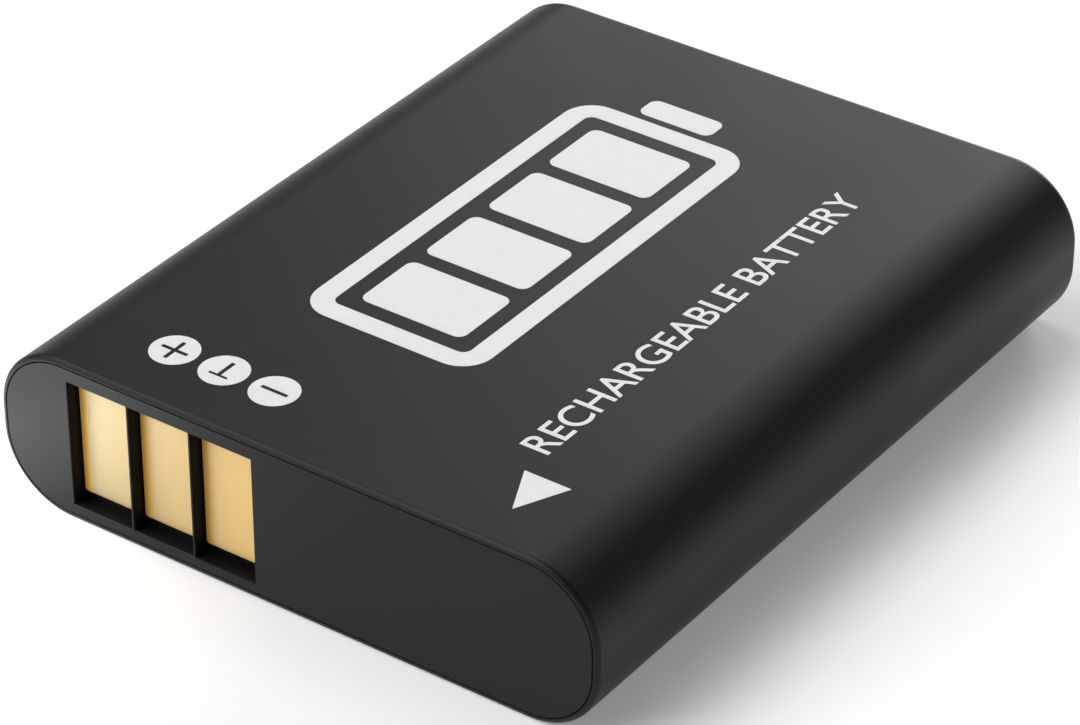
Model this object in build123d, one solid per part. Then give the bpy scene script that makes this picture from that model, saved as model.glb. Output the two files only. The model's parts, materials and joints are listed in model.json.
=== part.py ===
from build123d import *
import os

# A flat rechargeable camera battery: a moulded tub, its terminal cap, and the cell and board inside.
# Millimetres. X is across the width, Y along the length, Z up with the printed side on top.
# The terminals face -Y, on the -X half. The origin is at the centre of the underside.

# Case
case_width = 34.8
case_length = 42.4
case_thickness = 9.0
side_flat = 1.2             # upright stretch of a long side, between its two rounds
wall = 0.55
end_wall = 0.8
far_edge_radius = 0.5       # outer edge of the closed end
inner_end_radius = 0.3      # inside edge of the closed end
mouth_step = 0.25           # ledge inside the mouth that carries the cap
mouth_edge_radius = 0.27    # outer edge of the mouth

# Terminal cap
flange_thickness = 0.45     # the cap's front plate, which fills the mouth down to the step
seam_gap = 0.06             # open line round the plate
board_seat_depth = 0.93     # from the end face to the board
spigot_length = 2.2
spigot_wall = 0.5
spigot_fit = 0.06
spigot_lead_in = 0.2

# Contact windows, in a row along X
window_names = ["positive", "sense", "negative"]
window_side_margin = 4.28   # from the case's -X side to the first window
window_bottom_margin = 0.9
window_top_margin = 1.1
window_width = 3.55
rib_width = 0.18

# Contact plates
contact_thickness = 0.2
contact_side_gap = 0.05
contact_end_gap = 0.45
contact_corner_radius = 0.2
contact_edge = 0.06         # chamfer round the front face

# Circuit board, held on the cap by two heat stakes
board_thickness = 0.8
board_gap = 0.12
stake_inset = 1.6           # from each end of the board to its stake
stake_diameter = 1.0
stake_hole_gap = 0.05
stake_head_diameter = 1.7
stake_head_top = 1.1
stake_head_height = 0.35

# Components on the board's inner face, in four columns
column_pitch = 4.4
chip_length = 2.9
chip_width = 1.6
chip_height = 0.95
chip_standoff = 0.1
chip_edge = 0.12
lead_pitch = 0.95
lead_width = 0.4
lead_thickness = 0.15
lead_knee = 0.15            # from the chip's side to the lead's riser
lead_span = 2.8
passive_length = 1.6
passive_width = 0.8
passive_edge = 0.06
passive_gap = 0.7           # between the two passives of a column
resistor_height = 0.45
capacitor_height = 0.8
thermistor_height = 0.6

# Nickel weld plates on the board and the folded strips that meet them
weld_plate_inset = 3.6      # from each end of the board to its plate
weld_plate_width = 3.0
weld_plate_height = 3.6
weld_plate_thickness = 0.3
strip_width = 3.0
strip_thickness = 0.15

# Cell
header_room = 2.6           # between the board and the cell's lid
cell_side_gap = 0.12
cell_top_gap = 0.08
can_edge_radius = 0.6
lid_groove_inset = 0.5      # weld line round the lid
lid_groove_width = 0.15
lid_groove_depth = 0.1
tab_width = 4.2
tab_height = 3.8
tab_thickness = 0.15
gasket_width = 5.2
gasket_height = 3.6
gasket_thickness = 0.35
gasket_corner_radius = 1.2
rivet_width = 3.8
rivet_height = 2.4
rivet_thickness = 0.3
rivet_corner_radius = 0.8
rivet_shank_diameter = 1.4
rivet_fit = 0.02
plug_offset = 5.6           # from the rivet to the fill plug, towards -X
plug_diameter = 1.6
plug_height = 0.12

# Sheets, film and pad
sheet_thickness = 0.12
sheet_inset = 0.7
sheet_cutout_gap = 0.2
film_thickness = 0.06
film_gap = 0.02
film_end_margin = 0.9       # bare can at both ends of the film
adhesive_thickness = 0.1
adhesive_side_margin = 1.5  # from the flat's edge
adhesive_end_margin = 4.0
pad_thickness = 0.5
pad_side_margin = 5.0
pad_edge_margin = 1.4
pad_corner_radius = 0.8

# Levels along the length, from the terminal end to the closed end
end_y = -case_length / 2
step_y = end_y + flange_thickness
board_front_y = end_y + board_seat_depth
board_back_y = board_front_y + board_thickness
lid_y = board_back_y + header_room
case_end_y = case_length / 2
inner_end_y = case_end_y - end_wall
can_back_y = inner_end_y - pad_thickness

# Sections across the length
mid_z = case_thickness / 2
corner_radius = (case_thickness - side_flat) / 2
mouth_inset = wall - mouth_step
spigot_inset = wall + spigot_fit
spigot_bore_inset = spigot_inset + spigot_wall
board_inset = spigot_bore_inset + board_gap
board_half = case_width / 2 - board_inset
film_bottom_z = wall + adhesive_thickness
can_skin = film_thickness + film_gap
can_bottom_z = film_bottom_z + can_skin
can_top_z = case_thickness - wall - cell_top_gap - can_skin
can_width = case_width - 2 * (wall + cell_side_gap + can_skin)
can_thickness = can_top_z - can_bottom_z
can_radius = corner_radius - wall - cell_side_gap - can_skin
can_z = (can_bottom_z + can_top_z) / 2
window_height = case_thickness - window_bottom_margin - window_top_margin
window_z = window_bottom_margin + window_height / 2


def along(sketch, y_from, y_to):
    """A sketch of X and Z, extruded along the length."""
    across = Plane(origin=(0, y_to, 0), x_dir=(1, 0, 0), z_dir=(0, -1, 0))
    return extrude(across * sketch, y_to - y_from)


def case_section(inset=0.0):
    """The case's outline across its length, or one that lies inside it."""
    width = case_width - 2 * inset
    height = case_thickness - 2 * inset
    return Pos(0, mid_z) * RectangleRounded(width, height, corner_radius - inset)


def can_section(grow=0.0):
    """The can's outline across its length, or one that lies outside it."""
    width = can_width + 2 * grow
    height = can_thickness + 2 * grow
    return Pos(0, can_z) * RectangleRounded(width, height, can_radius + grow)


def plate(x, z, width, height, y_from, y_to):
    """A flat rectangular piece that faces along the length."""
    return along(Pos(x, z) * Rectangle(width, height), y_from, y_to)


def rounded_plate(x, z, width, height, radius, y_from, y_to):
    """A flat piece with round corners that faces along the length."""
    return along(Pos(x, z) * RectangleRounded(width, height, radius), y_from, y_to)


def disc(x, z, diameter, y_from, y_to):
    """A round piece whose axis lies along the length."""
    return along(Pos(x, z) * Circle(diameter / 2), y_from, y_to)


def window_x(index):
    """The middle of a contact window."""
    first = -case_width / 2 + window_side_margin + window_width / 2
    return first + index * (window_width + rib_width)


def column_x(index):
    """The middle of one of the four columns of components."""
    return (index - 1.5) * column_pitch


def weld_plate_x(side):
    """The middle of a weld plate, at the -X or the +X end of the board."""
    return side * (board_half - weld_plate_inset - weld_plate_width / 2)


def case_body():
    outer = along(case_section(), end_y, case_end_y)
    outer = fillet(outer.faces().sort_by(Axis.Y)[-1].edges(), far_edge_radius)
    outer = fillet(outer.faces().sort_by(Axis.Y)[0].edges(), mouth_edge_radius)
    cavity = along(case_section(wall), end_y, inner_end_y)
    cavity = fillet(cavity.faces().sort_by(Axis.Y)[-1].edges(), inner_end_radius)
    mouth = along(case_section(mouth_inset), end_y, step_y)
    return outer - cavity - mouth


def terminal_cap():
    flange = along(case_section(mouth_inset + seam_gap), end_y, step_y)
    spigot_end_y = board_front_y + spigot_length
    spigot = along(case_section(spigot_inset), step_y, spigot_end_y)
    spigot = chamfer(spigot.faces().sort_by(Axis.Y)[-1].edges(), spigot_lead_in)
    spigot -= along(case_section(spigot_bore_inset), board_front_y, spigot_end_y)
    cap = flange + spigot
    for index in range(len(window_names)):
        cap -= plate(window_x(index), window_z, window_width, window_height, end_y, board_front_y)
    for side in (-1, 1):
        cap += heat_stake(side)
    return cap


def heat_stake(side):
    """A peg through the board, with its end melted to a head."""
    x = side * (board_half - stake_inset)
    peg = disc(x, mid_z, stake_diameter, board_front_y, board_back_y)
    seat = Plane(origin=(x, board_back_y, mid_z), x_dir=(1, 0, 0), z_dir=(0, 1, 0))
    upright = (Align.CENTER, Align.CENTER, Align.MIN)
    head = Cone(stake_head_diameter / 2, stake_head_top / 2, stake_head_height, align=upright)
    return peg + seat * head


def contact(index):
    width = window_width - 2 * contact_side_gap
    height = window_height - 2 * contact_end_gap
    front_y = board_front_y - contact_thickness
    blank = rounded_plate(
        window_x(index), window_z, width, height, contact_corner_radius, front_y, board_front_y
    )
    return chamfer(blank.faces().sort_by(Axis.Y)[0].edges(), contact_edge)


def circuit_board():
    board = along(case_section(board_inset), board_front_y, board_back_y)
    hole = stake_diameter + 2 * stake_hole_gap
    for side in (-1, 1):
        board -= disc(side * (board_half - stake_inset), mid_z, hole, board_front_y, board_back_y)
    return board


def chip_lead(x, side):
    """A bent lead that stands on the board and enters the chip's side."""
    foot_y = board_back_y
    entry_y = foot_y + chip_standoff + chip_height / 2
    body = chip_width / 2
    riser = body + lead_knee
    outline = Polyline(
        (foot_y, side * lead_span / 2),
        (foot_y + lead_thickness, side * lead_span / 2),
        (foot_y + lead_thickness, side * (riser + lead_thickness)),
        (entry_y + lead_thickness, side * (riser + lead_thickness)),
        (entry_y + lead_thickness, side * (body - lead_thickness)),
        (entry_y, side * (body - lead_thickness)),
        (entry_y, side * riser),
        (foot_y, side * riser),
        close=True,
    )
    flank = Plane(origin=(x - lead_width / 2, 0, mid_z), x_dir=(0, 1, 0), z_dir=(1, 0, 0))
    return extrude(flank * make_face(outline), lead_width, dir=(1, 0, 0))


def six_lead_chip(column):
    x = column_x(column)
    bottom_y = board_back_y + chip_standoff
    chip = plate(x, mid_z, chip_length, chip_width, bottom_y, bottom_y + chip_height)
    chip = chamfer(chip.faces().sort_by(Axis.Y)[-1].edges(), chip_edge)
    for side in (-1, 1):
        for step in (-1, 0, 1):
            chip += chip_lead(x + step * lead_pitch, side)
    return chip


def passive(column, row, height):
    """A small block soldered on the board, in the upper or the lower row."""
    z = mid_z + row * (passive_length + passive_gap) / 2
    block = plate(column_x(column), z, passive_width, passive_length, board_back_y, board_back_y + height)
    return chamfer(block.faces().sort_by(Axis.Y)[-1].edges(), passive_edge)


def weld_plate(side):
    top_y = board_back_y + weld_plate_thickness
    return plate(weld_plate_x(side), mid_z, weld_plate_width, weld_plate_height, board_back_y, top_y)


def folded_strip(side, foot_y, foot_end_x):
    """A strip whose foot lies on the cell and whose head, folded back over it, lies on a weld plate."""
    head_y = board_back_y + weld_plate_thickness
    fold_x = weld_plate_x(side) + side * weld_plate_width / 2
    head_end_x = weld_plate_x(side) - side * weld_plate_width / 2
    middle_y = (foot_y + head_y) / 2
    outer = (foot_y - head_y) / 2
    inner = outer - strip_thickness
    outline = [
        Line((foot_end_x, middle_y + outer), (fold_x, middle_y + outer)),
        ThreePointArc(
            (fold_x, middle_y + outer), (fold_x + side * outer, middle_y), (fold_x, middle_y - outer)
        ),
        Line((fold_x, middle_y - outer), (head_end_x, middle_y - outer)),
        Line((head_end_x, middle_y - outer), (head_end_x, middle_y - inner)),
        Line((head_end_x, middle_y - inner), (fold_x, middle_y - inner)),
        ThreePointArc(
            (fold_x, middle_y - inner), (fold_x + side * inner, middle_y), (fold_x, middle_y + inner)
        ),
        Line((fold_x, middle_y + inner), (foot_end_x, middle_y + inner)),
        Line((foot_end_x, middle_y + inner), (foot_end_x, middle_y + outer)),
    ]
    lower_edge = Pos(0, 0, mid_z - strip_width / 2)
    return extrude(lower_edge * make_face(outline), strip_width, dir=(0, 0, 1))


def positive_strip():
    inner_end_x = weld_plate_x(-1) + weld_plate_width / 2
    return folded_strip(-1, lid_y - tab_thickness, inner_end_x)


def negative_strip():
    return folded_strip(1, lid_y - gasket_thickness - rivet_thickness, -rivet_width / 2)


def cell_can():
    can = along(can_section(), lid_y, can_back_y)
    can = fillet(can.faces().sort_by(Axis.Y)[-1].edges(), can_edge_radius)
    groove = can_section(-lid_groove_inset) - can_section(-lid_groove_inset - lid_groove_width)
    return can - along(groove, lid_y, lid_y + lid_groove_depth)


def clad_tab():
    return plate(weld_plate_x(-1), can_z, tab_width, tab_height, lid_y - tab_thickness, lid_y)


def terminal_gasket():
    gasket = rounded_plate(
        0, can_z, gasket_width, gasket_height, gasket_corner_radius, lid_y - gasket_thickness, lid_y
    )
    bore = rivet_shank_diameter + 2 * rivet_fit
    return gasket - disc(0, can_z, bore, lid_y - gasket_thickness, lid_y)


def terminal_rivet():
    seat_y = lid_y - gasket_thickness
    head = rounded_plate(
        0, can_z, rivet_width, rivet_height, rivet_corner_radius, seat_y - rivet_thickness, seat_y
    )
    return head + disc(0, can_z, rivet_shank_diameter, seat_y, lid_y)


def fill_plug():
    return disc(-plug_offset, can_z, plug_diameter, lid_y - plug_height, lid_y)


def header_sheet():
    front_y = lid_y - sheet_thickness
    sheet = along(can_section(-sheet_inset), front_y, lid_y)
    gap = 2 * sheet_cutout_gap
    sheet -= plate(weld_plate_x(-1), can_z, tab_width + gap, tab_height + gap, front_y, lid_y)
    sheet -= rounded_plate(
        0, can_z, gasket_width + gap, gasket_height + gap, gasket_corner_radius + gap / 2, front_y, lid_y
    )
    return sheet - disc(-plug_offset, can_z, plug_diameter + gap, front_y, lid_y)


def cell_film():
    ring = can_section(can_skin) - can_section(film_gap)
    return along(ring, lid_y + film_end_margin, can_back_y - film_end_margin)


def adhesive_sheet():
    width = can_width - 2 * (can_radius + adhesive_side_margin)
    front_y = lid_y + adhesive_end_margin
    back_y = can_back_y - adhesive_end_margin
    z = wall + adhesive_thickness / 2
    return plate(0, z, width, adhesive_thickness, front_y, back_y)


def end_pad():
    width = can_width - 2 * pad_side_margin
    height = can_thickness - 2 * pad_edge_margin
    return rounded_plate(0, can_z, width, height, pad_corner_radius, can_back_y, inner_end_y)


parts = {
    "case_body": case_body(),
    "terminal_cap": terminal_cap(),
    "circuit_board": circuit_board(),
    "protection_chip": six_lead_chip(1),
    "switch_chip": six_lead_chip(2),
    "board_resistors": Compound(children=[passive(0, row, resistor_height) for row in (-1, 1)]),
    "board_capacitor": passive(3, -1, capacitor_height),
    "thermistor": passive(3, 1, thermistor_height),
    "board_plate_positive": weld_plate(-1),
    "board_plate_negative": weld_plate(1),
    "positive_strip": positive_strip(),
    "negative_strip": negative_strip(),
    "cell_can": cell_can(),
    "clad_tab": clad_tab(),
    "terminal_gasket": terminal_gasket(),
    "terminal_rivet": terminal_rivet(),
    "fill_plug": fill_plug(),
    "header_sheet": header_sheet(),
    "cell_film": cell_film(),
    "adhesive_sheet": adhesive_sheet(),
    "end_pad": end_pad(),
}
for index, name in enumerate(window_names):
    parts["contact_" + name] = contact(index)

os.makedirs("parts", exist_ok=True)
for node, shape in parts.items():
    export_step(shape, f"parts/{node}.step")
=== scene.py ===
import json
import math

import bmesh
import bpy
from mathutils import Matrix, Vector


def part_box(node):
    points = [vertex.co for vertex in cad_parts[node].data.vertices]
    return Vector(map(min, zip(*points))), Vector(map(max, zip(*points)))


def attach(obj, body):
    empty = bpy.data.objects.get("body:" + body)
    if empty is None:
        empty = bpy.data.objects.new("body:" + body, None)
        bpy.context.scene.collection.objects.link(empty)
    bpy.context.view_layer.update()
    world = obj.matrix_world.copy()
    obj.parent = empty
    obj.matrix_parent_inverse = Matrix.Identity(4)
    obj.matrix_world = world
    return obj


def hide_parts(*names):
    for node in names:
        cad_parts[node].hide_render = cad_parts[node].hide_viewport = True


# A flat rechargeable camera battery: a satin black moulded case, a terminal cap with three gold
# contacts in windows, and white print on top. Metres, in the frame of the solids: X across the
# width, Y along the length, Z up, with the terminals at -Y.

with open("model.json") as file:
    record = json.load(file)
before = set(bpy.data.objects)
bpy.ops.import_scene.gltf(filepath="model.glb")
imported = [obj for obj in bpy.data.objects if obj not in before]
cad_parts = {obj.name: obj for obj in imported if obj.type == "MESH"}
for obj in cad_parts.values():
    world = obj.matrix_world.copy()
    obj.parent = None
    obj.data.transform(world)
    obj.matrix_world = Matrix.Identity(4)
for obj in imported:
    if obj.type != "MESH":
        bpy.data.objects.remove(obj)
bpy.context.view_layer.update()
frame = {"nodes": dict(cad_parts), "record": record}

MM = 0.001

# Case and cap, repeated from the solids where their boxes don't give them
CORNER_RADIUS = 3.9 * MM
WALL = 0.55 * MM
END_WALL = 0.8 * MM
FAR_EDGE_RADIUS = 0.5 * MM
INNER_END_RADIUS = 0.3 * MM
MOUTH_STEP = 0.25 * MM
MOUTH_EDGE_RADIUS = 0.27 * MM
FLANGE_THICKNESS = 0.45 * MM
SEAM_GAP = 0.06 * MM
SPIGOT_INSET = 0.61 * MM
SPIGOT_WALL = 0.5 * MM
SPIGOT_LEAD_IN = 0.2 * MM
STAKE_INSET = 1.6 * MM
STAKE_RADIUS = 0.5 * MM
STAKE_HEAD_RADIUS = 0.85 * MM
STAKE_HEAD_TOP_RADIUS = 0.55 * MM
STAKE_HEAD_HEIGHT = 0.35 * MM
WINDOW_SIDE_GAP = 0.05 * MM
WINDOW_END_GAP = 0.45 * MM
CUT_REACH = 0.55 * MM   # how far a cutting block stands out past what it cuts

# Edges that a mould leaves a touch round
WINDOW_EDGE = 0.08 * MM
SEAM_EDGE = 0.02 * MM

# Fineness of the meshes
CORNER_STEPS = 24
EDGE_STEPS = 8
FINE_STEPS = 3
ROUND_STEPS = 96
SHARP_ANGLE = math.radians(40)
SAME_PLACE = 0.002 * MM

# Print on the top face
INK_THICKNESS = 0.012 * MM
INK_CORNER = 0.06 * MM
DISC_RADIUS = 1.255 * MM
DISC_FIRST_X = -9.635 * MM
DISC_PITCH = 2.99 * MM
DISC_Y = -17.345 * MM
SIGN_STROKE = 0.23 * MM
SIGN_ARM = 1.55 * MM
T_BAR = 1.1 * MM
T_BAR_STROKE = 0.17 * MM
T_STEM = 1.22 * MM
T_BAR_Y = -0.47 * MM
ARROW_X = 10.86 * MM
ARROW_BASE_Y = -15.83 * MM
ARROW_WIDTH = 2.62 * MM
ARROW_LENGTH = 2.78 * MM
MARK_X = -2.25 * MM
MARK_FOOT_Y = -10.9 * MM
MARK_WIDTH = 10.4 * MM
MARK_LENGTH = 24.0 * MM
MARK_STROKE = 1.2 * MM
MARK_CORNER = 1.7 * MM
MARK_GAP = 0.95 * MM
MARK_BARS = 4
MARK_BAR_CORNER = 0.5 * MM
NUB_WIDTH = 4.4 * MM
NUB_LENGTH = 1.6 * MM
WORDS = "RECHARGEABLE BATTERY"
WORDS_FOOT_X = 9.71 * MM
WORDS_START_Y = -14.4 * MM
WORDS_SIZE = 2.33 * MM
WORDS_BOLD = 0.012 * MM
WORDS_MERGE = INK_THICKNESS / 10

# Grain of the finishes
FLOW_SIZE = 9 * MM
ERODED_PIT = 0.12 * MM
RECESS_PIT = 0.06 * MM
PIT_DEPTH = 0.01 * MM
ROLLING_WIDTH = 0.06 * MM
ROLLING_LENGTH = 2.5 * MM
ROLLING_DEPTH = 0.005 * MM
# Width and fade of the painted shade and reflection strip along each contact's -X edge
EDGE_STRIP = 0.36 * MM
EDGE_STRIP_FADE = 0.6 * MM   # where the strip has faded out
INK_BLOTCH = 0.8 * MM

# Studio: lengths in metres, and levels at which 1 is white
FLOOR_RADIUS = 1.5
WALL_HEIGHT = 0.45
SWEEP_RADIUS = 0.36
FLOOR_GLOW = 0.22
WORLD_LEVEL = 0.1
LAMP_DISTANCE = 0.7
FOOT_PANEL_PLACE = Vector((-24, -27, 6)) * MM

# Camera, fitted to the outline in the photograph
CAMERA_AZIMUTH = math.radians(35.47)
CAMERA_ELEVATION = math.radians(33.50)
CAMERA_DISTANCE = 219.9 * MM
CAMERA_AIM = Vector((1.04, -2.68, 4.5)) * MM
CAMERA_LENS = 150.47
CAMERA_SENSOR = 36.0
CAMERA_NEAREST = 10 * MM

# Sockets of a Mix node that mixes colours
MIX_FACTOR = 0
MIX_FIRST = 6
MIX_SECOND = 7
MIX_RESULT = 2

# Places taken from the solids
case_low, case_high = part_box("case_body")
cap_low, cap_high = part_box("terminal_cap")
board_low, board_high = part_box("circuit_board")
CONTACTS = ["contact_positive", "contact_sense", "contact_negative"]

WIDTH = case_high.x - case_low.x
HEIGHT = case_high.z - case_low.z
MID_Z = (case_low.z + case_high.z) / 2
TOP_Z = case_high.z
END_Y = cap_low.y
STEP_Y = END_Y + FLANGE_THICKNESS
FAR_Y = case_high.y
SPIGOT_END_Y = cap_high.y
BOARD_FRONT_Y = board_low.y
BOARD_BACK_Y = board_high.y
MOUTH_INSET = WALL - MOUTH_STEP
FLANGE_INSET = MOUTH_INSET + SEAM_GAP


def linear(hex_colour):
    """An sRGB hex colour as linear RGBA."""
    channels = [int(hex_colour[i:i + 2], 16) / 255 for i in (1, 3, 5)]
    low = [c / 12.92 for c in channels]
    high = [((c + 0.055) / 1.055) ** 2.4 for c in channels]
    return [b if c > 0.04045 else a for a, b, c in zip(low, high, channels)] + [1.0]


def add_node(tree, kind, values=None, links=None, **settings):
    """Adds a node with its settings, its socket values and its links."""
    node = tree.nodes.new(kind)
    for name, value in settings.items():
        setattr(node, name, value)
    for socket, value in (values or {}).items():
        node.inputs[socket].default_value = value
    for socket, source in (links or {}).items():
        tree.links.new(source, node.inputs[socket])
    return node


def new_material(name):
    """A material whose node tree is empty."""
    material = bpy.data.materials.new(name)
    material.use_nodes = True
    material.node_tree.nodes.clear()
    return material, material.node_tree


def moulded_plastic(name, dark, light):
    """Black ABS and polycarbonate, moulded against a spark-eroded steel face.

    The fine pits of that face give a satin sheen, a little uneven from flow in the mould. They are
    drawn coarser than real ones, which would not show.
    """
    material, tree = new_material(name)
    place = add_node(tree, "ShaderNodeTexCoord").outputs["Object"]
    flow = add_node(
        tree,
        "ShaderNodeTexNoise",
        {"Scale": 1 / FLOW_SIZE, "Detail": 3.0, "Roughness": 0.5},
        {"Vector": place},
    ).outputs["Fac"]
    tint = add_node(
        tree,
        "ShaderNodeMix",
        {MIX_FIRST: linear(dark), MIX_SECOND: linear(light)},
        {MIX_FACTOR: flow},
        data_type="RGBA",
    ).outputs[MIX_RESULT]
    sheen = add_node(
        tree,
        "ShaderNodeMapRange",
        {"From Min": 0.3, "From Max": 0.7, "To Min": 0.39, "To Max": 0.45},
        {"Value": flow},
    )
    pits = add_node(
        tree,
        "ShaderNodeTexNoise",
        {"Scale": 1 / ERODED_PIT, "Detail": 2.0, "Roughness": 0.6},
        {"Vector": place},
    ).outputs["Fac"]
    bump = add_node(tree, "ShaderNodeBump", {"Strength": 0.12, "Distance": PIT_DEPTH}, {"Height": pits})
    shader = add_node(
        tree,
        "ShaderNodeBsdfPrincipled",
        {"IOR": 1.54, "Specular IOR Level": 0.2},
        {"Base Color": tint, "Roughness": sheen.outputs["Result"], "Normal": bump.outputs["Normal"]},
    )
    add_node(tree, "ShaderNodeOutputMaterial", None, {"Surface": shader.outputs["BSDF"]})
    return material


def recess_plastic_painted_shade(name, dark, light):
    """The same plastic in the contact windows.

    There eroded core pins left it matt, so it mirrors little, and its colour is painted darker than
    the case's, as shade in the windows, so that it looks near black. The pits are drawn coarser than
    real ones.
    """
    material, tree = new_material(name)
    place = add_node(tree, "ShaderNodeTexCoord").outputs["Object"]
    pits = add_node(
        tree, "ShaderNodeTexNoise", {"Scale": 1 / RECESS_PIT, "Detail": 2.0}, {"Vector": place}
    ).outputs["Fac"]
    tint = add_node(
        tree,
        "ShaderNodeMix",
        {MIX_FIRST: linear(dark), MIX_SECOND: linear(light)},
        {MIX_FACTOR: pits},
        data_type="RGBA",
    ).outputs[MIX_RESULT]
    bump = add_node(tree, "ShaderNodeBump", {"Strength": 0.3, "Distance": PIT_DEPTH}, {"Height": pits})
    shader = add_node(
        tree,
        "ShaderNodeBsdfPrincipled",
        {"Roughness": 0.6, "IOR": 1.54, "Specular IOR Level": 0.1},
        {"Base Color": tint, "Normal": bump.outputs["Normal"]},
    )
    add_node(tree, "ShaderNodeOutputMaterial", None, {"Surface": shader.outputs["BSDF"]})
    return material


def plated_gold(name, pale, deep, edge):
    """Hard gold over nickel on a rolled, part-matt plate: warm and soft, with faint rolling lines.

    The colour is painted light: paler at -X and deeper towards +X, after the reflected light that
    falls off across the plates. A narrow strip along each plate's -X edge, by the window's wall, is
    painted deeper still, as that wall's shade and reflection. Metallic is kept low, so that the
    plates show their colour and not only what they mirror.
    """
    material, tree = new_material(name)
    first_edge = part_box(CONTACTS[0])[0].x
    last_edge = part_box(CONTACTS[-1])[1].x
    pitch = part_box(CONTACTS[1])[0].x - first_edge
    place = add_node(tree, "ShaderNodeTexCoord").outputs["Object"]
    stretched = add_node(
        tree,
        "ShaderNodeMapping",
        {"Scale": (1 / ROLLING_WIDTH, 1 / ROLLING_WIDTH, 1 / ROLLING_LENGTH)},
        {"Vector": place},
    )
    lines = add_node(
        tree, "ShaderNodeTexNoise", {"Scale": 1.0, "Detail": 3.0}, {"Vector": stretched.outputs["Vector"]}
    ).outputs["Fac"]
    bump = add_node(
        tree, "ShaderNodeBump", {"Strength": 0.03, "Distance": ROLLING_DEPTH}, {"Height": lines}
    )
    sheen = add_node(
        tree,
        "ShaderNodeMapRange",
        {"From Min": 0.3, "From Max": 0.7, "To Min": 0.3, "To Max": 0.36},
        {"Value": lines},
    )
    # Painted light: the plate colour runs from pale at -X to deep at +X, after the light that falls off
    # across the plates
    across = add_node(tree, "ShaderNodeSeparateXYZ", None, {"Vector": place}).outputs["X"]
    depth = add_node(
        tree, "ShaderNodeMapRange", {"From Min": first_edge, "From Max": last_edge}, {"Value": across}
    )
    tint = add_node(
        tree,
        "ShaderNodeMix",
        {MIX_FIRST: linear(pale), MIX_SECOND: linear(deep)},
        {MIX_FACTOR: depth.outputs["Result"]},
        data_type="RGBA",
    ).outputs[MIX_RESULT]
    # Painted shade and reflection: a deeper strip along each plate's -X edge, by the window's wall
    from_first = add_node(tree, "ShaderNodeMath", {1: first_edge}, {0: across}, operation="SUBTRACT")
    from_edge = add_node(tree, "ShaderNodeMath", {1: pitch}, {0: from_first.outputs[0]}, operation="MODULO")
    strip = add_node(
        tree,
        "ShaderNodeMapRange",
        {"From Min": EDGE_STRIP, "From Max": EDGE_STRIP_FADE, "To Min": 1.0, "To Max": 0.0},
        {"Value": from_edge.outputs[0]},
    )
    colour = add_node(
        tree,
        "ShaderNodeMix",
        {MIX_SECOND: linear(edge)},
        {MIX_FACTOR: strip.outputs["Result"], MIX_FIRST: tint},
        data_type="RGBA",
    ).outputs[MIX_RESULT]
    shader = add_node(
        tree,
        "ShaderNodeBsdfPrincipled",
        {"Metallic": 0.4},
        {"Base Color": colour, "Roughness": sheen.outputs["Result"], "Normal": bump.outputs["Normal"]},
    )
    add_node(tree, "ShaderNodeOutputMaterial", None, {"Surface": shader.outputs["BSDF"]})
    return material


def pad_ink(name, thin, full):
    """White two-part ink laid by a soft pad: matt and opaque, a little thin in places."""
    material, tree = new_material(name)
    place = add_node(tree, "ShaderNodeTexCoord").outputs["Object"]
    cover = add_node(
        tree, "ShaderNodeTexNoise", {"Scale": 1 / INK_BLOTCH, "Detail": 4.0}, {"Vector": place}
    ).outputs["Fac"]
    tint = add_node(
        tree,
        "ShaderNodeMix",
        {MIX_FIRST: linear(thin), MIX_SECOND: linear(full)},
        {MIX_FACTOR: cover},
        data_type="RGBA",
    ).outputs[MIX_RESULT]
    shader = add_node(
        tree, "ShaderNodeBsdfPrincipled", {"Roughness": 0.55, "IOR": 1.5}, {"Base Color": tint}
    )
    add_node(tree, "ShaderNodeOutputMaterial", None, {"Surface": shader.outputs["BSDF"]})
    return material


def mottled(name, dark, light, grain, roughness, metallic=0.0):
    """An inner piece's finish: two near shades in a soft mottle of a real grain size, with a faint bump."""
    material, tree = new_material(name)
    place = add_node(tree, "ShaderNodeTexCoord").outputs["Object"]
    mottle = add_node(
        tree, "ShaderNodeTexNoise", {"Scale": 1 / grain, "Detail": 4.0}, {"Vector": place}
    ).outputs["Fac"]
    tint = add_node(
        tree,
        "ShaderNodeMix",
        {MIX_FIRST: linear(dark), MIX_SECOND: linear(light)},
        {MIX_FACTOR: mottle},
        data_type="RGBA",
    ).outputs[MIX_RESULT]
    bump = add_node(tree, "ShaderNodeBump", {"Strength": 0.2, "Distance": PIT_DEPTH}, {"Height": mottle})
    shader = add_node(
        tree,
        "ShaderNodeBsdfPrincipled",
        {"Roughness": roughness, "Metallic": metallic},
        {"Base Color": tint, "Normal": bump.outputs["Normal"]},
    )
    add_node(tree, "ShaderNodeOutputMaterial", None, {"Surface": shader.outputs["BSDF"]})
    return material


def make_piece(name, bm, material):
    """A piece, in place, from a bmesh."""
    bmesh.ops.recalc_face_normals(bm, faces=bm.faces)
    mesh = bpy.data.meshes.new(name)
    bm.to_mesh(mesh)
    bm.free()
    piece = bpy.data.objects.new(name, mesh)
    piece.data.materials.append(material)
    bpy.context.scene.collection.objects.link(piece)
    return piece


def combine(piece, tool, operation):
    """Adds one closed mesh to another or cuts it out, and removes the tool."""
    boolean = piece.modifiers.new("combine", "BOOLEAN")
    boolean.object = tool
    boolean.operation = operation
    boolean.solver = "EXACT"
    boolean.material_mode = "TRANSFER"
    shaped = bpy.data.meshes.new_from_object(piece.evaluated_get(bpy.context.evaluated_depsgraph_get()))
    piece.modifiers.clear()
    piece.data = shaped
    bpy.data.objects.remove(tool)


def round_edges(bm, edges, radius, steps):
    """Rounds edges of a piece by a radius."""
    bmesh.ops.bevel(
        bm, geom=edges, affect="EDGES", offset=radius, segments=steps, profile=0.5, material=-1
    )


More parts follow.
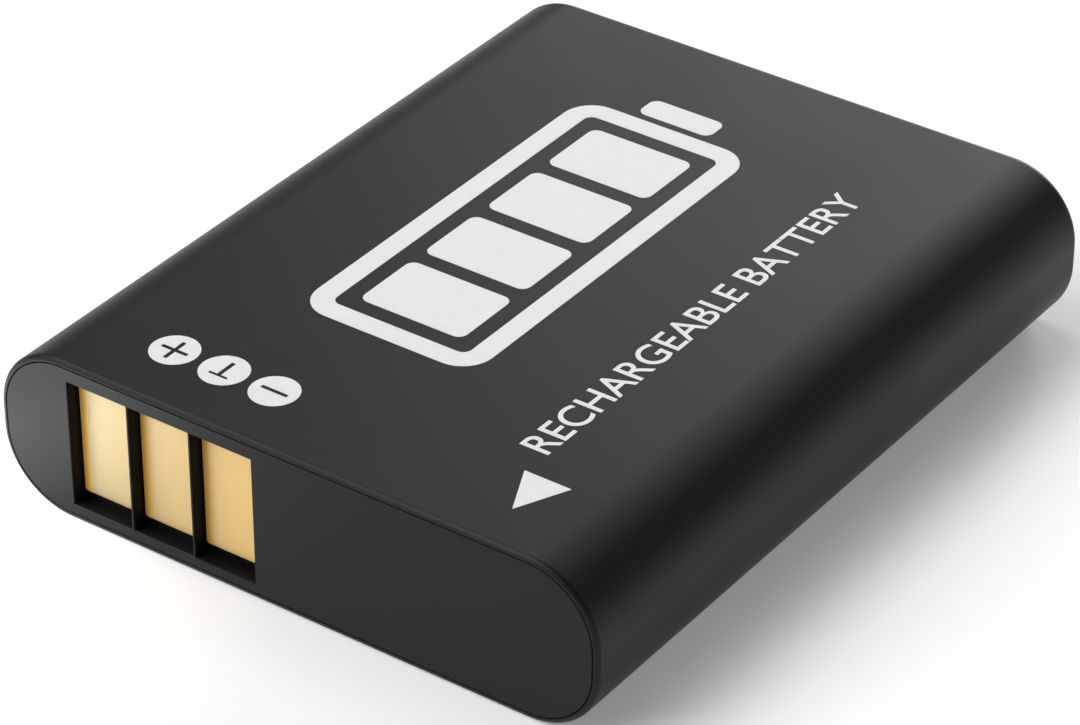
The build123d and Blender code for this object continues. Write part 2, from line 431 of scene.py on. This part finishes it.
def shade(piece):
    """Smooth over the rounds and crisp at the corners, with the flats kept flat."""
    bm = bmesh.new()
    bm.from_mesh(piece.data)
    for face in bm.faces:
        face.smooth = True
    for edge in bm.edges:
        edge.smooth = edge.is_manifold and edge.calc_face_angle() < SHARP_ANGLE
    bm.to_mesh(piece.data)
    bm.free()
    normals = piece.modifiers.new("flat_flats", "WEIGHTED_NORMAL")
    normals.keep_sharp = True


def section(bm, y, inset=0.0):
    """The case's outline across its length, or one that lies inside it, as one face."""
    corners = []
    for side, level in ((-1, -1), (1, -1), (1, 1), (-1, 1)):
        x = side * (WIDTH / 2 - inset)
        z = MID_Z + level * (HEIGHT / 2 - inset)
        corners.append(bm.verts.new((x, y, z)))
    bm.faces.new(corners)
    bmesh.ops.bevel(
        bm,
        geom=corners,
        affect="VERTICES",
        offset=CORNER_RADIUS - inset,
        segments=CORNER_STEPS,
        profile=0.5,
        material=-1,
    )
    bm.faces.ensure_lookup_table()
    return bm.faces[0]


def extrude_to(bm, face, y, keep_start=False):
    """Draws a face out along the length to y and gives the face at its end."""
    start = face.verts[0].co.y
    made = bmesh.ops.extrude_face_region(bm, geom=[face])["geom"]
    verts = [part for part in made if isinstance(part, bmesh.types.BMVert)]
    bmesh.ops.translate(bm, verts=verts, vec=(0, y - start, 0))
    if not keep_start:
        bmesh.ops.delete(bm, geom=[face], context="FACES_ONLY")
    return next(part for part in made if isinstance(part, bmesh.types.BMFace))


def step_in(bm, face, distance, rise=0.0):
    """Steps a face in from its own outline by an even distance, and moves it on along the length."""
    bmesh.ops.inset_region(bm, faces=[face], thickness=distance, use_even_offset=True)
    bmesh.ops.translate(bm, verts=face.verts[:], vec=(0, rise, 0))


def moulded_case(material):
    """The tub: its section drawn out to the closed end, and a stepped mouth and the cavity sunk into it."""
    bm = bmesh.new()
    mouth = section(bm, END_Y)
    outer_edges = mouth.edges[:]
    far = extrude_to(bm, mouth, FAR_Y, keep_start=True)
    round_edges(bm, far.edges[:], FAR_EDGE_RADIUS, EDGE_STEPS)
    step_in(bm, mouth, MOUTH_INSET)
    inner_edges = mouth.edges[:]
    step = extrude_to(bm, mouth, STEP_Y)
    step_in(bm, step, MOUTH_STEP)
    floor = extrude_to(bm, step, FAR_Y - END_WALL)
    round_edges(bm, floor.edges[:], INNER_END_RADIUS, FINE_STEPS)
    round_edges(bm, inner_edges, SEAM_EDGE, FINE_STEPS)
    round_edges(bm, outer_edges, MOUTH_EDGE_RADIUS, EDGE_STEPS)
    piece = make_piece("moulded_case", bm, material)
    shade(piece)
    return piece


def cap_blank():
    """The cap before its windows are cut: the plate that fills the mouth, and the spigot with its bore."""
    bm = bmesh.new()
    front = section(bm, END_Y, FLANGE_INSET)
    front_edges = front.edges[:]
    back = extrude_to(bm, front, STEP_Y, keep_start=True)
    step_in(bm, back, SPIGOT_INSET - FLANGE_INSET)
    back = extrude_to(bm, back, SPIGOT_END_Y - SPIGOT_LEAD_IN)
    step_in(bm, back, SPIGOT_LEAD_IN, SPIGOT_LEAD_IN)
    step_in(bm, back, SPIGOT_WALL - SPIGOT_LEAD_IN)
    extrude_to(bm, back, BOARD_FRONT_Y)
    round_edges(bm, front_edges, SEAM_EDGE, FINE_STEPS)
    return bm


def heat_stakes():
    """Two pegs through the board, each with its end melted to a head."""
    bm = bmesh.new()
    along_length = Matrix.Rotation(math.radians(-90), 4, "X")
    root = BOARD_FRONT_Y - STAKE_RADIUS / 2
    for x in (board_low.x + STAKE_INSET, board_high.x - STAKE_INSET):
        for y, length, lower, upper in (
            (root, BOARD_BACK_Y - root, STAKE_RADIUS, STAKE_RADIUS),
            (BOARD_BACK_Y, STAKE_HEAD_HEIGHT, STAKE_HEAD_RADIUS, STAKE_HEAD_TOP_RADIUS),
        ):
            bmesh.ops.create_cone(
                bm,
                cap_ends=True,
                segments=CORNER_STEPS,
                radius1=lower,
                radius2=upper,
                depth=length,
                matrix=Matrix.Translation((x, y + length / 2, MID_Z)) @ along_length,
            )
    return bm


def window_blocks():
    """What the windows take out of the cap, one block over each contact."""
    bm = bmesh.new()
    for name in CONTACTS:
        low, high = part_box(name)
        low += Vector((-WINDOW_SIDE_GAP, 0, -WINDOW_END_GAP))
        high += Vector((WINDOW_SIDE_GAP, 0, WINDOW_END_GAP))
        low.y = END_Y - CUT_REACH
        high.y = BOARD_FRONT_Y
        size = Matrix.Diagonal(high - low).to_4x4()
        bmesh.ops.create_cube(bm, size=1, matrix=Matrix.Translation((low + high) / 2) @ size)
    return bm


def moulded_cap(material, recess):
    """The cap: its blank with the stakes added and the windows cut, and the front edges a touch round."""
    piece = make_piece("moulded_cap", cap_blank(), material)
    combine(piece, make_piece("stakes", heat_stakes(), material), "UNION")
    # The cut walls of the windows take the recess plastic, painted darker as shade
    combine(piece, make_piece("windows", window_blocks(), recess), "DIFFERENCE")
    bm = bmesh.new()
    bm.from_mesh(piece.data)
    rims = []
    for edge in bm.edges:
        on_front = all(abs(vert.co.y - END_Y) < SAME_PLACE for vert in edge.verts)
        if on_front and edge.calc_face_angle() > SHARP_ANGLE:
            rims.append(edge)
    round_edges(bm, rims, WINDOW_EDGE, FINE_STEPS)
    bm.to_mesh(piece.data)
    bm.free()
    shade(piece)
    return piece


def flat_shape(bm, corners, radius, low, high):
    """A flat shape of a few corners, each a little round, between two levels."""
    verts = [bm.verts.new((x, y, low)) for x, y in corners]
    before = set(bm.faces)
    bm.faces.new(verts)
    bmesh.ops.bevel(
        bm, geom=verts, affect="VERTICES", offset=radius, segments=EDGE_STEPS, profile=0.5, material=-1
    )
    face = next(f for f in bm.faces if f not in before)
    made = bmesh.ops.extrude_face_region(bm, geom=[face])["geom"]
    verts = [part for part in made if isinstance(part, bmesh.types.BMVert)]
    bmesh.ops.translate(bm, verts=verts, vec=(0, 0, high - low))


def bar(x, y, width, length):
    """The corners of an upright rectangle about a middle point."""
    return [
        (x - width / 2, y - length / 2),
        (x + width / 2, y - length / 2),
        (x + width / 2, y + length / 2),
        (x - width / 2, y + length / 2),
    ]


def printed(name, bm, material):
    """A piece of print that rides on the battery."""
    piece = make_piece(name, bm, material)
    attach(piece, "root")
    return piece


def sign_bars(sign, x, y):
    """The strokes of a contact's sign, as bars of a width along X and a length along Y."""
    if sign == "plus":
        return [bar(x, y, SIGN_ARM, SIGN_STROKE), bar(x, y, SIGN_STROKE, SIGN_ARM)]
    if sign == "minus":
        return [bar(x, y, SIGN_ARM, SIGN_STROKE)]
    stem_y = y + T_BAR_Y + T_STEM / 2
    return [bar(x, y + T_BAR_Y, T_BAR, T_BAR_STROKE), bar(x, stem_y, SIGN_STROKE, T_STEM)]


def contact_signs(material):
    """A white disc by each contact, with its sign left open in the ink."""
    for index, sign in enumerate(("plus", "t", "minus")):
        x = DISC_FIRST_X + index * DISC_PITCH
        bm = bmesh.new()
        bmesh.ops.create_cone(
            bm,
            cap_ends=True,
            segments=ROUND_STEPS,
            radius1=DISC_RADIUS,
            radius2=DISC_RADIUS,
            depth=INK_THICKNESS,
            matrix=Matrix.Translation((x, DISC_Y, TOP_Z + INK_THICKNESS / 2)),
        )
        disc = printed("print_disc_" + sign, bm, material)
        for corners in sign_bars(sign, x, DISC_Y):
            tool = bmesh.new()
            flat_shape(tool, corners, INK_CORNER, TOP_Z - CUT_REACH, TOP_Z + CUT_REACH)
            combine(disc, make_piece("stroke", tool, material), "DIFFERENCE")


def insertion_arrow(material):
    """A plain triangle that points to the terminal end."""
    bm = bmesh.new()
    corners = [
        (ARROW_X - ARROW_WIDTH / 2, ARROW_BASE_Y),
        (ARROW_X, ARROW_BASE_Y - ARROW_LENGTH),
        (ARROW_X + ARROW_WIDTH / 2, ARROW_BASE_Y),
    ]
    flat_shape(bm, corners, INK_CORNER, TOP_Z, TOP_Z + INK_THICKNESS)
    printed("print_arrow", bm, material)


def level_mark(material):
    """A plain battery-level sign: an outline with its nub, and a row of bars."""
    mid_y = MARK_FOOT_Y + MARK_LENGTH / 2
    head_y = MARK_FOOT_Y + MARK_LENGTH
    top = TOP_Z + INK_THICKNESS
    bm = bmesh.new()
    flat_shape(bm, bar(MARK_X, mid_y, MARK_WIDTH, MARK_LENGTH), MARK_CORNER, TOP_Z, top)
    mark = printed("print_level_mark", bm, material)

    inside = bmesh.new()
    inner_width = MARK_WIDTH - 2 * MARK_STROKE
    inner_length = MARK_LENGTH - 2 * MARK_STROKE
    inner_corner = MARK_CORNER - MARK_STROKE
    opening = bar(MARK_X, mid_y, inner_width, inner_length)
    flat_shape(inside, opening, inner_corner, TOP_Z - CUT_REACH, TOP_Z + CUT_REACH)
    combine(mark, make_piece("inside", inside, material), "DIFFERENCE")

    bars = bmesh.new()
    nub_y = head_y + MARK_GAP / 2 + NUB_LENGTH / 2
    flat_shape(bars, bar(MARK_X, nub_y, NUB_WIDTH, NUB_LENGTH), MARK_BAR_CORNER, TOP_Z, top)
    bar_width = inner_width - 2 * MARK_GAP
    bar_pitch = (inner_length - MARK_GAP) / MARK_BARS
    for index in range(MARK_BARS):
        y = MARK_FOOT_Y + MARK_STROKE + MARK_GAP / 2 + (index + 0.5) * bar_pitch
        flat_shape(bars, bar(MARK_X, y, bar_width, bar_pitch - MARK_GAP), MARK_BAR_CORNER, TOP_Z, top)
    combine(mark, make_piece("bars", bars, material), "UNION")


def kind_words(material):
    """The kind of thing in plain capitals, read along the length with their tops to the middle."""
    curve = bpy.data.curves.new("print_words", "FONT")
    curve.body = WORDS
    curve.size = WORDS_SIZE
    curve.extrude = INK_THICKNESS / 2
    curve.offset = WORDS_BOLD
    text = bpy.data.objects.new("words_curve", curve)
    bpy.context.scene.collection.objects.link(text)
    mesh = bpy.data.meshes.new_from_object(text.evaluated_get(bpy.context.evaluated_depsgraph_get()))
    bpy.data.objects.remove(text)
    bm = bmesh.new()
    bm.from_mesh(mesh)
    bmesh.ops.remove_doubles(bm, verts=bm.verts, dist=WORDS_MERGE)
    place = Matrix.Translation((WORDS_FOOT_X, WORDS_START_Y, TOP_Z + INK_THICKNESS / 2))
    bmesh.ops.transform(bm, verts=bm.verts, matrix=place @ Matrix.Rotation(math.radians(90), 4, "Z"))
    printed("print_words", bm, material)


def studio_floor():
    """A pale floor whose edge sweeps up to a low wall all round.

    A faint glow that only the camera and mirror images see lifts it to white, and its shadows stay.
    """
    material, tree = new_material("studio_paper")
    paths = add_node(tree, "ShaderNodeLightPath")
    mirrored = add_node(
        tree,
        "ShaderNodeMath",
        None,
        {0: paths.outputs["Is Camera Ray"], 1: paths.outputs["Is Glossy Ray"]},
        operation="MAXIMUM",
    )
    seen = add_node(
        tree,
        "ShaderNodeMath",
        None,
        {0: mirrored.outputs[0], 1: paths.outputs["Is Transmission Ray"]},
        operation="MAXIMUM",
    )
    glow = add_node(tree, "ShaderNodeMath", {1: FLOOR_GLOW}, {0: seen.outputs[0]}, operation="MULTIPLY")
    shader = add_node(
        tree,
        "ShaderNodeBsdfPrincipled",
        {"Base Color": linear("#f0f0f0"), "Roughness": 0.9, "Emission Color": (1, 1, 1, 1)},
        {"Emission Strength": glow.outputs[0]},
    )
    add_node(tree, "ShaderNodeOutputMaterial", None, {"Surface": shader.outputs["BSDF"]})
    bm = bmesh.new()
    middle = bm.verts.new((0, 0, 0))
    foot = bm.verts.new((FLOOR_RADIUS, 0, 0))
    head = bm.verts.new((FLOOR_RADIUS, 0, WALL_HEIGHT))
    chain = [bm.edges.new((middle, foot)), bm.edges.new((foot, head))]
    bmesh.ops.spin(
        bm,
        geom=chain + [middle, foot, head],
        cent=(0, 0, 0),
        axis=(0, 0, 1),
        angle=math.tau,
        steps=ROUND_STEPS,
        use_merge=True,
    )
    bmesh.ops.remove_doubles(bm, verts=bm.verts, dist=SAME_PLACE)
    corner = []
    for edge in bm.edges:
        if all(abs(vert.co.z) < MM and vert.co.length > FLOOR_RADIUS / 2 for vert in edge.verts):
            corner.append(edge)
    round_edges(bm, corner, SWEEP_RADIUS, EDGE_STEPS)
    floor = make_piece("studio_floor", bm, material)
    for polygon in floor.data.polygons:
        polygon.use_smooth = True


def softbox(name, place, aim, width, height, radiance):
    """A rectangular diffused lamp that points at a place, with the brightness of its face."""
    lamp = bpy.data.lights.new(name, "AREA")
    lamp.shape = "RECTANGLE"
    lamp.size = width
    lamp.size_y = height
    lamp.energy = radiance * width * height * math.pi
    light = bpy.data.objects.new(name, lamp)
    light.location = place
    light.rotation_euler = (aim - place).to_track_quat("-Z", "Y").to_euler()
    light.visible_camera = False
    bpy.context.scene.collection.objects.link(light)


def around(azimuth, elevation):
    """A lamp's place, in degrees: azimuth 0 is in front of the terminals, 90 to the right, 180 behind."""
    turn = math.radians(azimuth)
    rise = math.radians(elevation)
    level = LAMP_DISTANCE * math.cos(rise)
    height = MID_Z + LAMP_DISTANCE * math.sin(rise)
    return Vector((level * math.sin(turn), -level * math.cos(turn), height))


def studio_lamps():
    """The light of the photograph, soft from the front left.

    The left fill lights the left side and the top. The panel behind and its fade to the left give
    the sheen that grows towards the far right of the top face. The low front lamp softens the round edge
    of the end face. The foot panel brightens the floor by the left end of the terminals, which the end
    face mirrors.
    """
    middle = Vector((0, 0, MID_Z))
    below_panel = FOOT_PANEL_PLACE - Vector((0, 0, MM))
    softbox("main_softbox", around(315, 50), middle, width=0.75, height=0.4, radiance=4.2)
    softbox("left_fill", around(235, 60), middle, width=0.4, height=0.3, radiance=2.5)
    softbox("front_low", around(325, 16), middle, width=0.3, height=0.2, radiance=4.5)
    softbox("back_panel", around(186, 20), middle, width=0.3, height=0.3, radiance=5.3)
    softbox("back_fade", around(204, 20), middle, width=0.3, height=0.15, radiance=5.8)
    softbox("foot_panel", FOOT_PANEL_PLACE, below_panel, width=15 * MM, height=7 * MM, radiance=9.2)


def photo_camera():
    """The camera at the photograph's viewing angle."""
    level = math.cos(CAMERA_ELEVATION)
    back = Vector(
        (
            math.sin(CAMERA_AZIMUTH) * level,
            -math.cos(CAMERA_AZIMUTH) * level,
            math.sin(CAMERA_ELEVATION),
        )
    )
    data = bpy.data.cameras.new("camera")
    data.sensor_fit = "HORIZONTAL"
    data.sensor_width = CAMERA_SENSOR
    data.lens = CAMERA_LENS
    data.clip_start = CAMERA_NEAREST
    camera = bpy.data.objects.new("camera", data)
    camera.location = CAMERA_AIM + back * CAMERA_DISTANCE
    camera.rotation_euler = (-back).to_track_quat("-Z", "Y").to_euler()
    bpy.context.scene.collection.objects.link(camera)
    bpy.context.scene.camera = camera


# Finishes, by the record's material slots
finishes = {
    "case_plastic": moulded_plastic("case_plastic_satin", "#111112", "#131314"),
    "cap_plastic": moulded_plastic("cap_plastic_satin", "#111112", "#131314"),
    # The gold's pale-to-deep colours and its edge colour are painted light and shade over the plating's own
    # colour
    "contact_gold": plated_gold("contact_gold_with_painted_light", "#b6a67f", "#edc77e", "#ffc763"),
    "board_laminate": mottled("board_black_mask", "#0c0e0d", "#131615", grain=0.6 * MM, roughness=0.35),
    "chip_resin": mottled("chip_moulded_resin", "#161616", "#202020", grain=0.08 * MM, roughness=0.6),
    "component_ceramic": mottled("fired_ceramic", "#7d6a52", "#95806a", grain=0.1 * MM, roughness=0.5),
    "strip_nickel": mottled(
        "rolled_nickel", "#b9b3a7", "#cbc6ba", grain=0.3 * MM, roughness=0.3, metallic=1.0
    ),
    "gasket_plastic": mottled("gasket_polypropylene", "#d8d8d4", "#e6e6e2", grain=0.5 * MM, roughness=0.45),
    "can_aluminium": mottled(
        "drawn_aluminium", "#c4c4c8", "#d6d6d9", grain=0.4 * MM, roughness=0.32, metallic=1.0
    ),
    "insulating_paper": mottled("pressed_paper", "#d6d2c4", "#e6e3d6", grain=0.15 * MM, roughness=0.85),
    "film_plastic": mottled("polyester_film", "#2d5486", "#38649a", grain=1.5 * MM, roughness=0.2),
    "tape_adhesive": mottled("acrylic_tape", "#cfcab8", "#dedaca", grain=0.3 * MM, roughness=0.7),
    "pad_foam": mottled("closed_cell_foam", "#2c2c2c", "#444444", grain=0.12 * MM, roughness=0.95),
}
for subpart in frame["record"]["subparts"]:
    node = frame["nodes"][subpart["node"]]
    node.material_slots[0].material = finishes[subpart["material_slot"]]

# Pieces
case = moulded_case(finishes["case_plastic"])
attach(case, "root")
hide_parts("case_body")

# The windows' plastic is the cap's, painted darker as shade in the recess
cap = moulded_cap(finishes["cap_plastic"], recess_plastic_painted_shade("cap_plastic_recess_painted_shade", "#0a0a0b", "#0e0e0f"))
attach(cap, "root")
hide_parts("terminal_cap")

ink = pad_ink("white_pad_ink", "#e2e2e1", "#ebebea")
contact_signs(ink)
insertion_arrow(ink)
level_mark(ink)
kind_words(ink)

# Camera, floor and light
photo_camera()
studio_floor()
studio_lamps()

world = bpy.data.worlds.new("studio")
world.use_nodes = True
world.node_tree.nodes["Background"].inputs["Color"].default_value = (1, 1, 1, 1)
world.node_tree.nodes["Background"].inputs["Strength"].default_value = WORLD_LEVEL
bpy.context.scene.world = world
bpy.context.scene.view_settings.view_transform = "Standard"
